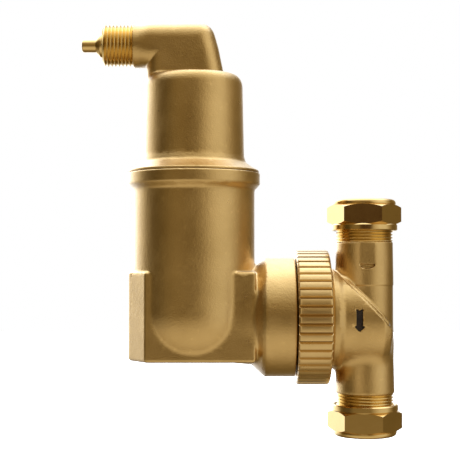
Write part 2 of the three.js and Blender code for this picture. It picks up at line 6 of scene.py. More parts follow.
import bmesh
import bpy
import numpy as np
import openvdb
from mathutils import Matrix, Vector


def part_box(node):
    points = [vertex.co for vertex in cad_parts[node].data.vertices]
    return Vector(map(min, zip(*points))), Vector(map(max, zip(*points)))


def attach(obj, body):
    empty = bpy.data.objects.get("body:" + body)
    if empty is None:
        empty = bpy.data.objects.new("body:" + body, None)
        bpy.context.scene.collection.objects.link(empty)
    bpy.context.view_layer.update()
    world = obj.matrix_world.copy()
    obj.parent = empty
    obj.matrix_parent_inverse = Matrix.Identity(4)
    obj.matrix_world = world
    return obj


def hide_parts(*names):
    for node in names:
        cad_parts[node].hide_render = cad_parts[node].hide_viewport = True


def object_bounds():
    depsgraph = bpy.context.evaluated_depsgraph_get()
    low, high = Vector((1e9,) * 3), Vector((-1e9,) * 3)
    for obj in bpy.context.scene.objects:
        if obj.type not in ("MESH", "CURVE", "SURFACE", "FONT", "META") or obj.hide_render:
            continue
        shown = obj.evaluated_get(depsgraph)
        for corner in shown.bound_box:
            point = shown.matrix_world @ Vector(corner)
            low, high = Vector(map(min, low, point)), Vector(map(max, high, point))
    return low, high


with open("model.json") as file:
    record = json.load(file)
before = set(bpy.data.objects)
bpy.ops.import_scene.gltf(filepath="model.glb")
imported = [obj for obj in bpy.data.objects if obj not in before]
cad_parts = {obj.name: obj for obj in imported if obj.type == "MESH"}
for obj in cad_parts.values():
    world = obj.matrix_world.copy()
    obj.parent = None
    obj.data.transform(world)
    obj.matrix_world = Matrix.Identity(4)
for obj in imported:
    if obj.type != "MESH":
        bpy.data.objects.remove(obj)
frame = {"record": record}
cad_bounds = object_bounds()

MM = 0.001               # shapes are worked out in millimetres and stored in metres
FINE = 1.0


def box_mm(node):
    """A CAD node's lowest and highest corners, in millimetres."""
    low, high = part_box(node)
    return np.array(low) / MM, np.array(high) / MM


def middle_mm(node):
    low, high = box_mm(node)
    return (low + high) / 2


# ---- Places taken from the frame ----
BODY_LOW, BODY_HIGH = box_mm("lower_body")
HOUSING_LOW, HOUSING_HIGH = box_mm("upper_housing")
RING_LOW, RING_HIGH = box_mm("union_ring")
TEE_LOW, TEE_HIGH = box_mm("pipe_tee")
UNION_Z = middle_mm("union_ring")[2]
PIPE_X = middle_mm("compression_nut_top")[0]
ARM_Z = middle_mm("outlet_nozzle")[2]

# ---- Driving dimensions, in millimetres ----
BODY_RADIUS = 30.5
BODY_TOP = BODY_HIGH[2]
DOME_Z = 24.2
RIM_RADIUS = 33.2
BLOCK_LEFT, BLOCK_RIGHT = -31.5, 30.6
BLOCK_HALF_DEPTH, BLOCK_HEIGHT, CORNER_X, CORNER_Y = 23.3, 43.7, 9.1, 13.2
CAVITY_RADIUS, CAVITY_FLOOR, LEDGE_Z, LEDGE_RADIUS = 26.0, 4.0, 81.0, 28.0
NECK_RADIUS, NECK_END, NECK_BORE = 29.5, RING_LOW[0] - 0.5, 16.0
NECK_THREAD_END = BODY_HIGH[0]
BLOCK_FILLET, NECK_FILLET, BLOCK_EDGE = 1.0, 2.2, 1.6

LIP_Z, LIP_RADIUS, LIP_UNDER = 93.0, 32.7, 92.82
SEAL_LOW, SEAL_HIGH, SEAL_DEPTH = 86.0, 89.0, 2.6
BARREL_RADIUS, SHOULDER_Z, BARREL_TOP = 25.3, 135.5, 141.8
SHOULDER_CENTRE, SHOULDER_REACH = 20.3, 4.3
HOUSING_FOOT, HOUSING_SPIGOT = 83.5, 27.6
ROOM_RADIUS, ROOM_TOP = 22.3, 139.3
ELBOW_LEFT, ELBOW_HALF_DEPTH, ELBOW_TOP, ELBOW_ROUND = -23.5, 11.8, 167.7, 8.4
ARM_RADIUS, ARM_BORE, ARM_THREAD_START, ARM_END, ARM_CHANGE = 11.0, 4.2, -30.0, -45.2, 8.5

TUBE_BORE, WATERWAY, PIPE_STOP = 11.2, 10.0, 31.0
CHAMBER_RADIUS, CHAMBER_END, INNER_RADIUS = 15.5, 76.0, 6.3
PORT_LEFT, PORT_HALF, PORT_MIDDLE, PORT_HALF_HEIGHT = 72.0, 7.0, 11.8, 3.2
UPPER_WAY, LOWER_WAY = 8.6, 6.3
TEE_SPIGOT, CLIP_GROOVE, CLIP_FROM, CLIP_TO = 20.0, 18.4, 1.3, 3.3
TUBE_LEVELS, TUBE_RADII = (-37, -8, 15.9, 16.1, 37), (14.7, 14.2, 14.2, 14.45, 14.2)
TUBE_FRONT = 14.4
PAD_HALF, PAD_FOOT, PAD_DEPTH = 4.1, 26.2, 0.6
SCOOP_HALF, SCOOP_LEVEL, SCOOP_REACH, SCOOP_DEPTH, SCOOP_TOP = 3.7, 26.4, 2.3, 2.2, 26.6
STEP_DEPTH, STEP_RISE = 1.7, 1.5
SOCKET_RADIUS, SOCKET_START, SOCKET_END = 24.0, RING_HIGH[0] + 0.3, 97.8
SPIGOT_START = TEE_LOW[0]
THREAD_START, THREAD_END = 37.5, 52.3
NUT_TURN = -8.5          # degrees

# ---- Threads: the crest is a radius ----
NECK_THREAD = {"crest": 23.9, "depth": 1.1, "pitch": 2.309}
OUTLET_THREAD = {"crest": 10.45, "depth": 1.16, "pitch": 1.814}
PIPE_THREAD = {"crest": 14.2, "depth": 0.85, "pitch": 1.5}


# ---- Distance fields: every function takes points as x, y, z arrays in millimetres ----
def polygon_distance(a, b, outline):
    """Signed distance from points (a, b) to a closed outline, negative inside."""
    points = np.asarray(outline, np.float32)
    nearest = np.full(a.shape, 1e9, np.float32)
    inside = np.zeros(a.shape, bool)
    for (a0, b0), (a1, b1) in zip(points, np.roll(points, -1, axis=0)):
        ea, eb = a1 - a0, b1 - b0
        length2 = ea * ea + eb * eb
        if length2 < 1e-9:
            continue
        wa, wb = a - a0, b - b0
        t = np.clip((wa * ea + wb * eb) / length2, 0, 1)
        nearest = np.minimum(nearest, (wa - ea * t) ** 2 + (wb - eb * t) ** 2)
        crosses = (b0 > b) != (b1 > b)
        if abs(eb) > 1e-9:
            inside ^= crosses & (a < a0 + ea * (b - b0) / eb)
    return np.where(inside, -1, 1) * np.sqrt(nearest)


def rounded(corners, steps=5):
    """An outline from (a, b, radius) corners, each rounded to its radius."""
    points = []
    count = len(corners)
    for i, (a, b, radius) in enumerate(corners):
        here = Vector((a, b))
        before = Vector(corners[i - 1][:2]) - here
        after = Vector(corners[(i + 1) % count][:2]) - here
        if radius <= 0 or before.length < 1e-6 or after.length < 1e-6:
            points.append((a, b))
            continue
        turn = before.angle(after)
        reach = min(radius / math.tan(turn / 2), before.length * 0.49, after.length * 0.49)
        start = here + before.normalized() * reach
        end = here + after.normalized() * reach
        for k in range(steps + 1):
            t = k / steps
            point = start * (1 - t) ** 2 + here * 2 * t * (1 - t) + end * t ** 2
            points.append((point.x, point.y))
    return points


def smooth_min(a, b, blend):
    h = np.clip(0.5 + 0.5 * (b - a) / blend, 0, 1)
    return b * (1 - h) + a * h - blend * h * (1 - h)


def smooth_max(a, b, blend):
    return -smooth_min(-a, -b, blend)


def turned_z(x, y, z, outline, centre_x=0.0):
    return polygon_distance(np.hypot(x - centre_x, y), z, outline)


def turned_x(x, y, z, outline, centre_z):
    """A body of revolution about X: the outline's points are (radius, x)."""
    return polygon_distance(np.hypot(y, z - centre_z), x, outline)


def rod_z(x, y, z, radius, low, high, centre_x=0.0):
    side = np.hypot(x - centre_x, y) - radius
    return np.maximum(side, np.maximum(low - z, z - high))


def rod_x(x, y, z, radius, low, high, centre_z):
    side = np.hypot(y, z - centre_z) - radius
    return np.maximum(side, np.maximum(low - x, x - high))


def slab(flat, along, half, edge):
    """A flat outline's distance, given thickness 2 * half along a third axis, with rounded edges."""
    across = np.abs(along) - half
    a, b = flat + edge, across + edge
    return np.hypot(np.maximum(a, 0), np.maximum(b, 0)) + np.minimum(np.maximum(a, b), 0) - edge


# ---- From distance field to mesh ----
CHUNK = 8                # voxels along each side of a sampled chunk


def sample(field, low, high, voxel):
    """The field on a grid. Chunks far from the surface hold only its sign."""
    counts = np.ceil((high - low) / voxel / CHUNK).astype(int)
    half = voxel * CHUNK / 2
    centres = [low[i] + (np.arange(counts[i]) + 0.5) * voxel * CHUNK for i in range(3)]
    cx, cy, cz = np.meshgrid(*centres, indexing="ij")
    coarse = field(cx.astype(np.float32), cy.astype(np.float32), cz.astype(np.float32))
    band = 3 * voxel
    near = np.abs(coarse) < half * 1.8 + band
    grid = np.where(coarse < 0, -band, band).astype(np.float32)
    for axis in range(3):
        grid = np.repeat(grid, CHUNK, axis=axis)
    steps = (np.arange(CHUNK) + 0.5) * voxel - half
    sx, sy, sz = np.meshgrid(steps, steps, steps, indexing="ij")
    where = np.argwhere(near)
    for part in np.array_split(where, max(1, len(where) // 400)):
        x = cx[tuple(part.T)][:, None, None, None] + sx
        y = cy[tuple(part.T)][:, None, None, None] + sy
        z = cz[tuple(part.T)][:, None, None, None] + sz
        values = field(x.astype(np.float32), y.astype(np.float32), z.astype(np.float32))
        for (i, j, k), value in zip(part * CHUNK, values):
            grid[i:i + CHUNK, j:j + CHUNK, k:k + CHUNK] = value
    return np.clip(grid, -band, band)


def slopes(field, points, reach):
    """The field's value and gradient at each point."""
    p = points.astype(np.float32)
    value = field(p[:, 0], p[:, 1], p[:, 2])
    gradient = np.empty_like(p)
    for axis in range(3):
        ahead, behind = p.copy(), p.copy()
        ahead[:, axis] += reach
        behind[:, axis] -= reach
        gradient[:, axis] = (field(*ahead.T) - field(*behind.T)) / (2 * reach)
    return value, gradient


def mesh_from_field(name, field, low, high, voxel, adapt=0.02):
    """A closed mesh on the field's zero surface, with normals from the field."""
    voxel *= FINE
    low = np.asarray(low, float) - 3 * voxel
    high = np.asarray(high, float) + 3 * voxel
    grid = openvdb.FloatGrid(3 * voxel)
    grid.copyFromArray(sample(field, low, high, voxel))
    points, triangles, quads = grid.convertToPolygons(0.0, adapt)
    points = low + (points + 0.5) * voxel
    for _ in range(3):
        value, gradient = slopes(field, points, 0.08 * voxel)
        length2 = np.maximum((gradient ** 2).sum(1), 0.2)
        step = np.clip(value / length2, -0.5 * voxel, 0.5 * voxel)
        points = points - gradient * step[:, None]
    _, gradient = slopes(field, points, 0.45 * voxel)
    normals = gradient / np.maximum(np.linalg.norm(gradient, axis=1), 1e-6)[:, None]
    faces = [tuple(map(int, face)) for face in (*triangles, *quads)]
    mesh = bpy.data.meshes.new(name)
    mesh.from_pydata((points * MM).tolist(), [], faces)
    mesh.validate()
    mesh.shade_smooth()
    mesh.normals_split_custom_set_from_vertices(normals.tolist())
    return add_object(name, mesh)


def add_object(name, mesh):
    obj = bpy.data.objects.new(name, mesh)
    bpy.context.scene.collection.objects.link(obj)
    return obj


# ---- Meshes of rings: closed sections swept round an axis ----
def ring_mesh(name, sections, sharp_deg=35):
    """A ring-shaped body from loops (K, S, 3): K points round its section, S round the axis."""
    loops = np.asarray(sections, float)
    count, around, _ = loops.shape
    faces = []
    for k in range(count):
        below, above = k * around, ((k + 1) % count) * around
        for j in range(around):
            following = (j + 1) % around
            faces.append((below + j, below + following, above + following, above + j))
    return finished_mesh(name, loops.reshape(-1, 3), faces, sharp_deg)


def finished_mesh(name, points, faces, sharp_deg):
    mesh = bpy.data.meshes.new(name)
    mesh.from_pydata((np.asarray(points) * MM).tolist(), [], faces)
    work = bmesh.new()
    work.from_mesh(mesh)
    bmesh.ops.remove_doubles(work, verts=work.verts, dist=1e-7)
    bmesh.ops.recalc_face_normals(work, faces=work.faces)
    work.to_mesh(mesh)
    work.free()
    mesh.shade_smooth()
    mesh.set_sharp_from_angle(angle=math.radians(sharp_deg))
    return add_object(name, mesh)


def about_z(radius, angle, height, centre_x):
    return np.stack([centre_x + radius * np.cos(angle), radius * np.sin(angle), height + 0 * angle], -1)


def about_x(radius, angle, along, centre_z):
    return np.stack([along + 0 * angle, radius * np.cos(angle), centre_z + radius * np.sin(angle)], -1)


def turned_ring(name, outline, place, around=96, sharp_deg=35):
    """A ring from a closed section of (radius, height) points."""
    angle = np.linspace(0, 2 * np.pi, around, endpoint=False)
    loops = [place(radius + 0 * angle, angle, height) for radius, height in outline]
    return ring_mesh(name, loops, sharp_deg)


def thread_mesh(name, place, crest, depth, pitch, start, end, bore, lead=1.0, around=96):
    """A helical external thread from start to end, with a plain bore. The free end is chamfered."""
    per_turn = 10
    turns = abs(end - start) / pitch
    rings = int(math.ceil((turns + 2) * per_turn))
    sign = 1 if end > start else -1
    angle = np.linspace(0, 2 * np.pi, around, endpoint=False)
    share = angle / (2 * np.pi)
    k = np.arange(rings + 1)[:, None]
    travel = pitch * (k / per_turn - 1 + share[None, :])
    travel = np.clip(travel, 0, abs(end - start))
    phase = np.mod(travel / pitch - share[None, :], 1.0)
    rise = 1 - np.clip(np.abs(phase - 0.5) * 2.5 - 0.15, 0, 1)
    radius = crest - depth * (1 - rise)
    radius = np.minimum(radius, crest - depth + 0.1 + (abs(end - start) - travel) * lead)
    points = place(radius, angle[None, :] + 0 * travel, start + sign * travel).reshape(-1, 3)
    faces = []
    for ring in range(rings):
        for j in range(around):
            a, d = ring * around + j, (ring + 1) * around + j
            if j + 1 < around:
                b, c = a + 1, d + 1
            else:
                if ring + per_turn + 1 > rings:
                    continue
                b, c = (ring + per_turn) * around, (ring + per_turn + 1) * around
            faces.append((a, b, c, d))
    first, last = 0, rings * around
    inner_start = len(points)
    inner = [place(bore + 0 * angle, angle, height) for height in (start, end)]
    points = np.concatenate([points, *inner])
    for j in range(around):
        n = (j + 1) % around
        a, b = inner_start + j, inner_start + n
        c, d = a + around, b + around
        faces.append((first + n, first + j, a, b))
        faces.append((last + j, last + n, d, c))
        faces.append((a, b, d, c))
    return finished_mesh(name, points, faces, 40)


# ---- Castings ----
def lower_body_field(x, y, z):
    barrel = turned_z(x, y, z, LOWER_OUTLINE)
    dome = np.hypot(np.hypot(x, y), np.minimum(z - DOME_Z, 0)) - BODY_RADIUS
    barrel = np.maximum(barrel, np.where(z < DOME_Z, dome, -99))
    plan = polygon_distance(x, y, BLOCK_PLAN)
    block = slab(plan, z - BLOCK_HEIGHT / 2, BLOCK_HEIGHT / 2, BLOCK_EDGE)
    neck = turned_x(x, y, z, NECK_OUTLINE, UNION_Z)
    outside = smooth_min(barrel, block, BLOCK_FILLET)
    outside = smooth_min(outside, neck, NECK_FILLET)
    outside = np.where(x < 20, np.maximum(outside, -z), outside)
    cavity = np.hypot(np.hypot(x, y), np.minimum(z - DOME_Z, 0)) - CAVITY_RADIUS
    cavity = np.maximum(cavity, CAVITY_FLOOR - z)
    cavity = np.minimum(cavity, rod_z(x, y, z, LEDGE_RADIUS, LEDGE_Z, BODY_TOP + 5))
    bore = rod_x(x, y, z, NECK_BORE, 8, NECK_THREAD_END + 5, UNION_Z)
    return np.maximum(outside, -np.minimum(cavity, bore))


LOWER_OUTLINE = rounded([
    (-5, 0, 0),
    (BODY_RADIUS, 0, 0),
    (BODY_RADIUS, 84.2, 2.5),
    (RIM_RADIUS, 87.0, 1.6),
    (RIM_RADIUS, BODY_TOP, 0.7),
    (-5, BODY_TOP, 0),
])
BLOCK_PLAN = rounded([
    (BLOCK_LEFT + CORNER_X, -BLOCK_HALF_DEPTH, 2.4),
    (BLOCK_RIGHT, -BLOCK_HALF_DEPTH, 1.4),
    (BLOCK_RIGHT, BLOCK_HALF_DEPTH, 1.4),
    (BLOCK_LEFT + CORNER_X, BLOCK_HALF_DEPTH, 2.4),
    (BLOCK_LEFT, BLOCK_HALF_DEPTH - CORNER_Y, 2.4),
    (BLOCK_LEFT, -BLOCK_HALF_DEPTH + CORNER_Y, 2.4),
])
NECK_OUTLINE = rounded([
    (-5, 12, 0),
    (22, 12, 0),
    (23.6, 29.0, 0),
    (28.4, 34.0, 0.6),
    (NECK_RADIUS, 35.6, 1.2),
    (NECK_RADIUS, NECK_END, 0.8),
    (-5, NECK_END, 0),
])

HOUSING_OUTLINE = rounded([
    (-5, HOUSING_FOOT, 0),
    (HOUSING_SPIGOT, HOUSING_FOOT, 0.6),
    (HOUSING_SPIGOT, SEAL_LOW, 0),
    (HOUSING_SPIGOT - SEAL_DEPTH, SEAL_LOW, 0),
    (HOUSING_SPIGOT - SEAL_DEPTH, SEAL_HIGH, 0),
    (HOUSING_SPIGOT, SEAL_HIGH, 0),
    (HOUSING_SPIGOT, LIP_UNDER, 0),
    (LIP_RADIUS, LIP_UNDER, 0.4),
    (LIP_RADIUS, LIP_Z + 0.9, 0.5),
    (29.3, LIP_Z + 2.9, 3.0),
    (26.3, LIP_Z + 5.0, 2.5),
    (BARREL_RADIUS, LIP_Z + 8.2, 2.5),
    *[(SHOULDER_CENTRE + SHOULDER_REACH * math.cos(t),
       SHOULDER_Z + (BARREL_TOP - SHOULDER_Z) * math.sin(t), 0)
      for t in np.linspace(0, math.pi / 2, 14)],
    (-5, BARREL_TOP, 0),
])
ELBOW_SIDE = rounded([
    (ELBOW_LEFT, 134, 0),
    (17.3, 134, 0),
    (15.0, 143, 1.0),
    (12.6, ELBOW_TOP - 13.0, 6.0),
    (9.0, ELBOW_TOP, 9.5),
    (-13.0, ELBOW_TOP, 0.5),
    (ELBOW_LEFT, ARM_Z - 4.0, 3.0),
])


def arm_field(x, y, z):
    """The arm changes from round, at the thread, to the elbow's rounded square."""
    low = ARM_Z - ARM_RADIUS
    round_arm = np.hypot(y, z - ARM_Z) - ARM_RADIUS
    across = np.abs(y) - ELBOW_HALF_DEPTH + ELBOW_ROUND
    up = np.abs(z - (low + ELBOW_TOP) / 2) - (ELBOW_TOP - low) / 2 + ELBOW_ROUND
    corner = np.hypot(np.maximum(across, 0), np.maximum(up, 0))
    square_arm = corner + np.minimum(np.maximum(across, up), 0) - ELBOW_ROUND
    share = np.clip((x - ARM_THREAD_START - 1) / ARM_CHANGE, 0, 1)
    share = share * share * (3 - 2 * share)
    arm = round_arm * (1 - share) + square_arm * share
    return np.maximum(arm, np.maximum(ARM_THREAD_START - x, x + 6)), share


def upper_housing_field(x, y, z):
    barrel = turned_z(x, y, z, HOUSING_OUTLINE)
    leg = slab(polygon_distance(x, z, ELBOW_SIDE), y, ELBOW_HALF_DEPTH, ELBOW_ROUND)
    arm, share = arm_field(x, y, z)
    elbow = smooth_min(leg, arm, 1.2 * (1 - share) + 0.02)
    outside = smooth_min(barrel, elbow, 1.4)
    room = rod_z(x, y, z, ROOM_RADIUS, HOUSING_FOOT - 9, ROOM_TOP)
    riser = rod_z(x, y, z, ARM_BORE, ROOM_TOP - 2, ARM_Z + 2)
    outlet = rod_x(x, y, z, ARM_BORE, -60, 2, ARM_Z)
    return np.maximum(outside, -np.minimum(room, np.minimum(riser, outlet)))


SOCKET_OUTLINE = rounded([
    (-5, SOCKET_START, 0),
    (24.6, SOCKET_START, 0.8),
    (25.3, SOCKET_START + 1.2, 0.8),
    (25.0, SOCKET_START + 3.8, 0.5),
    (SOCKET_RADIUS, SOCKET_START + 5.6, 0.6),
    (SOCKET_RADIUS, SOCKET_END - 5.3, 3.0),
    (21.4, SOCKET_END - 1.4, 3.0),
    (15.0, SOCKET_END, 3.0),
    (-5, SOCKET_END, 0),
])
CUT_FROM, CUT_TO = np.array([68.2, 45.8]), np.array([98.6, 13.6])
CUT_ALONG = (CUT_TO - CUT_FROM) / np.linalg.norm(CUT_TO - CUT_FROM)
CUT_NORMAL = np.array([-CUT_ALONG[1], CUT_ALONG[0]])


def pipe_tee_field(x, y, z):
    level = z - UNION_Z
    above = (x - CUT_FROM[0]) * CUT_NORMAL[0] + (z - CUT_FROM[1]) * CUT_NORMAL[1]
    socket = turned_x(x, y, z, SOCKET_OUTLINE, UNION_Z)
    step = smooth_max(socket + STEP_DEPTH, above - STEP_RISE, 0.5)
    socket = np.minimum(smooth_max(socket, above, 0.7), step)
    radius = np.interp(level, TUBE_LEVELS, TUBE_RADII).astype(np.float32)
    tube = smooth_max(np.hypot(x - PIPE_X, y) - radius, np.abs(level) - THREAD_START, 0.8)
    pad = np.maximum(PAD_FOOT - level, y + TUBE_FRONT - PAD_DEPTH)
    pad = np.maximum(np.abs(x - PIPE_X) - PAD_HALF, pad)
    scoop = np.hypot((x - PIPE_X) / SCOOP_HALF, (level - SCOOP_LEVEL) / SCOOP_REACH)
    scoop = (scoop - 1) * SCOOP_REACH
    scoop = np.maximum(scoop, np.maximum(y + TUBE_FRONT - SCOOP_DEPTH, level - SCOOP_TOP))
    pad = np.minimum(pad, scoop)
    outside = smooth_min(socket, tube, 1.6 + np.clip(-level / 6, 0, 2))
    outside = smooth_max(outside, -pad, 0.25)
    spigot = rod_x(x, y, z, TEE_SPIGOT, SPIGOT_START, SOCKET_START + 2, UNION_Z)
    groove = np.maximum(SPIGOT_START + CLIP_FROM - x, x - SPIGOT_START - CLIP_TO)
    groove = np.maximum(CLIP_GROOVE - np.hypot(y, level), groove)
    outside = np.minimum(outside, np.maximum(spigot, -groove))
    chamber = rod_x(x, y, z, CHAMBER_RADIUS, 50, CHAMBER_END, UNION_Z)
    inner = rod_x(x, y, z, INNER_RADIUS, CHAMBER_END - 2, PIPE_X, UNION_Z)
    port = np.maximum(np.abs(y) - PORT_HALF, np.abs(level - PORT_MIDDLE) - PORT_HALF_HEIGHT)
    port = np.maximum(np.maximum(PORT_LEFT - x, x - PIPE_X), port)
    upper = rod_z(x, y, z, WATERWAY, UNION_Z + UPPER_WAY, UNION_Z + 60, PIPE_X)
    lower = rod_z(x, y, z, WATERWAY, UNION_Z - 60, UNION_Z + LOWER_WAY, PIPE_X)
    sockets = np.maximum(np.hypot(x - PIPE_X, y) - TUBE_BORE, PIPE_STOP - np.abs(level))
    inside = np.minimum.reduce([chamber, inner, port, upper, lower, sockets])
    arrow = np.maximum(polygon_distance(x, z, ARROW_OUTLINE), y + SOCKET_RADIUS - 1.1)
    inside = np.minimum(inside, np.maximum(arrow, -y - SOCKET_RADIUS - 3))
    return np.maximum(outside, -inside)


ARROW_X, ARROW_Z = 80.3, UNION_Z - 0.6
ARROW_HALF = [(0, -5.6), (2.8, -2.7), (1.55, -2.7), (1.55, 5.6), (0, 4.4)]
ARROW_SHAPE = ARROW_HALF + [(-a, b) for a, b in ARROW_HALF[3:0:-1]]
ARROW_OUTLINE = [(ARROW_X + a, ARROW_Z + b) for a, b in ARROW_SHAPE]


def make_lower_body():
    high = np.array([NECK_END, BODY_HIGH[1], BODY_TOP])
    piece = mesh_from_field("lower_body_casting", lower_body_field, BODY_LOW, high, 0.55)
    place(piece, "separator", "cast_brass", cast_brass, "lower_body")
    thread = thread_mesh(
        "neck_thread",
        lambda r, a, s: about_x(r, a, s, UNION_Z),
        start=NECK_END - 0.2,
        end=NECK_THREAD_END,
        bore=NECK_BORE,
        **NECK_THREAD,
    )
    place(thread, "separator", "cast_brass", machined_brass, "lower_body")


def make_upper_housing():
    low = np.array([ARM_THREAD_START, HOUSING_LOW[1], HOUSING_LOW[2]])
    piece = mesh_from_field("upper_housing_casting", upper_housing_field, low, HOUSING_HIGH, 0.55)
    place(piece, "separator", "cast_brass", cast_brass, "upper_housing")
    thread = thread_mesh(
        "outlet_thread",
        lambda r, a, s: about_x(r, a, s, ARM_Z),
        start=ARM_THREAD_START + 0.2,
        end=ARM_END,
        bore=ARM_BORE,
        **OUTLET_THREAD,
    )
    place(thread, "separator", "cast_brass", machined_brass, "upper_housing")


def make_pipe_tee():
    low = np.array([SPIGOT_START, -SOCKET_RADIUS - 1.4, UNION_Z - THREAD_START])
    high = np.array([TEE_HIGH[0], SOCKET_RADIUS + 1.4, UNION_Z + THREAD_START])
    piece = mesh_from_field("pipe_tee_forging", pipe_tee_field, low, high, 0.5)
    place(piece, "tee", "cast_brass", cast_brass, "pipe_tee")
    for end, sign in (("top", 1), ("bottom", -1)):
        thread = thread_mesh(
            f"pipe_thread_{end}",
            lambda r, a, s: about_z(r, a, s, PIPE_X),
            start=UNION_Z + sign * (THREAD_START - 0.2),
            end=UNION_Z + sign * THREAD_END,
            bore=TUBE_BORE,
            **PIPE_THREAD,
        )
        place(thread, "tee", "cast_brass", machined_brass, "pipe_tee")
    make_arrow()


def make_arrow():
    """A near-black arrow-shaped plate at the bottom of its recess."""
    depth = SOCKET_RADIUS - 0.75
    outline = bmesh.new()
    inset = 0.96
    verts = [
        outline.verts.new(((ARROW_X + a * inset) * MM, -depth * MM, (ARROW_Z + b * inset) * MM))
        for a, b in ARROW_SHAPE
    ]
    face = outline.faces.new(verts)
    back = bmesh.ops.extrude_face_region(outline, geom=[face])["geom"]
    moved = [v for v in back if isinstance(v, bmesh.types.BMVert)]
    bmesh.ops.translate(outline, verts=moved, vec=(0, 0.35 * MM, 0))
    bmesh.ops.recalc_face_normals(outline, faces=outline.faces)
    mesh = bpy.data.meshes.new("flow_arrow")
    outline.to_mesh(mesh)
    outline.free()
    piece = add_object("flow_arrow", mesh)
    place(piece, "tee", "cast_brass", near_black_arrow_fill)


# ---- Machined pieces ----
def make_union_ring():
    teeth, depth = 48, 1.3
    steps = (-0.5, -0.43, -0.36, -0.32, -0.16, 0.0, 0.16, 0.32, 0.36, 0.43)
    start, end, radius = RING_LOW[0], RING_HIGH[0], (RING_HIGH[2] - RING_LOW[2]) / 2
    pitch = 2 * np.pi / teeth
    angle = np.concatenate([pitch * (i + np.array(steps)) for i in range(teeth)])
    share = np.tile(np.array(steps), teeth)
    groove = np.clip((np.abs(share) - 0.335) / 0.12, 0, 1)
    crown = 0.12 * np.clip(np.abs(share) / 0.34, 0, 1) ** 4
    tooth = radius - crown - depth * groove

    def at(reach, along):
        return about_x(np.minimum(tooth, reach), angle, along, UNION_Z)

    edge, bore, wall, rear = 1.25, 24.4, end - 3.2, 20.4
    loops = []
    for t in np.linspace(0, 1, 5):
        swing = t * math.pi / 2
        loops.append(at(radius - edge * (1 - math.sin(swing)), start + edge * (1 - math.cos(swing))))
    for t in np.linspace(0, 1, 9)[1:-1]:
        loops.append(at(radius, start + edge + (end - start - 2 * edge) * t))
    for t in np.linspace(1, 0, 5):
        swing = t * math.pi / 2
        loops.append(at(radius - edge * (1 - math.sin(swing)), end - edge * (1 - math.cos(swing))))
    lead_in = 0.6
    inside = ((rear, end), (rear, wall), (bore, wall), (bore, start + lead_in), (bore + lead_in, start))
    for reach, along in inside:
        loops.append(about_x(reach + 0 * angle, angle, along, UNION_Z))
    piece = ring_mesh("union_ring_knurled", loops, 32)
    place(piece, "union_ring", "cast_brass", satin_ring, "union_ring")


def boolean(target, other, operation):
    """Cuts or joins with an exact boolean, and removes the other object."""
    modifier = target.modifiers.new("shape", "BOOLEAN")
    modifier.operation = operation
    modifier.solver = "EXACT"
    modifier.object = other
    apply_modifiers(target)
    bpy.data.objects.remove(other)


def apply_modifiers(obj):
    graph = bpy.context.evaluated_depsgraph_get()
    mesh = bpy.data.meshes.new_from_object(obj.evaluated_get(graph))
    obj.modifiers.clear()
    obj.data = mesh


def lathe(name, outline, centre_x, around=96):
    """A solid of revolution about Z from (radius, height) points that start and end on the axis."""
    work = bmesh.new()
    angle = np.linspace(0, 2 * np.pi, around, endpoint=False)
    rings = []
    for radius, height in outline:
        if radius < 1e-6:
            rings.append([work.verts.new((centre_x * MM, 0, height * MM))])
            continue
        points = about_z(radius + 0 * angle, angle, height, centre_x) * MM
        rings.append([work.verts.new(p) for p in points])
    for lower, upper in zip(rings, rings[1:]):
        for j in range(around):
            n = (j + 1) % around
            if len(lower) == 1:
                work.faces.new((lower[0], upper[n], upper[j]))
            elif len(upper) == 1:
                work.faces.new((lower[j], lower[n], upper[0]))
            else:
                work.faces.new((lower[j], lower[n], upper[n], upper[j]))
    bmesh.ops.recalc_face_normals(work, faces=work.faces)
    mesh = bpy.data.meshes.new(name)
    work.to_mesh(mesh)
    work.free()
    return add_object(name, mesh)


